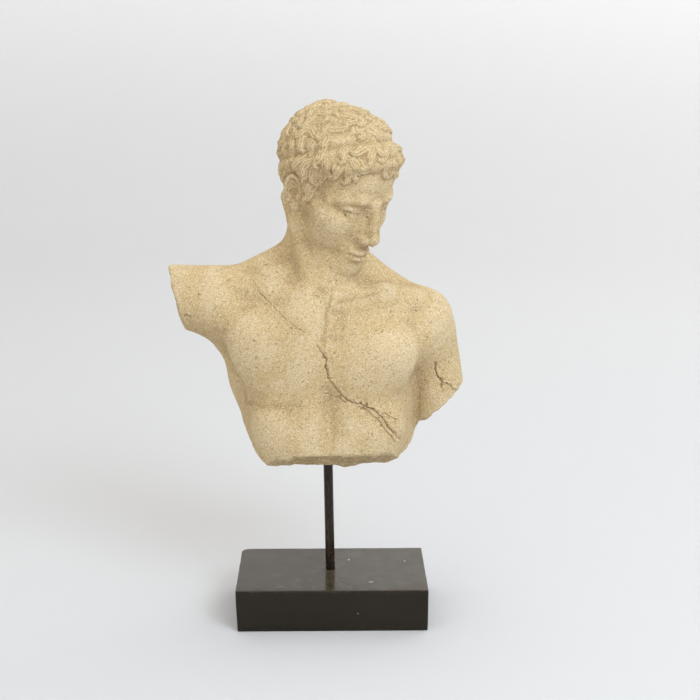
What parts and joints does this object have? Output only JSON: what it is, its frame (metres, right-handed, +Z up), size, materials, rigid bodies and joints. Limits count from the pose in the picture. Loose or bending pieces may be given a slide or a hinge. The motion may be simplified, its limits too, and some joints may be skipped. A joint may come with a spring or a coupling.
{
  "type": "bust on stand",
  "caption": "Classical youth's bust with broken arms in pale cast sandstone finish, held up by a dark steel rod on a black rectangular block.",
  "frame": {"origin": "centre of the block's underside, on the surface it stands on", "axes": "+Z up, -Y towards the viewer of the bust's front, +X to that viewer's right"},
  "size_m": [0.2451, 0.1142, 0.4393],
  "materials": {
    "sandstone": "resin-bonded sand cast, warm beige with fine dark and pale grains, dry and matte",
    "dark_steel": "blackened bronze-brown steel, satin",
    "black_paint": "black-brown satin paint, faint brush streaks and worn edges"
  },
  "bodies": {
    "root": {"bust": "sandstone", "support_rod": "dark_steel", "base_block": "black_paint"}
  },
  "joints": []
}
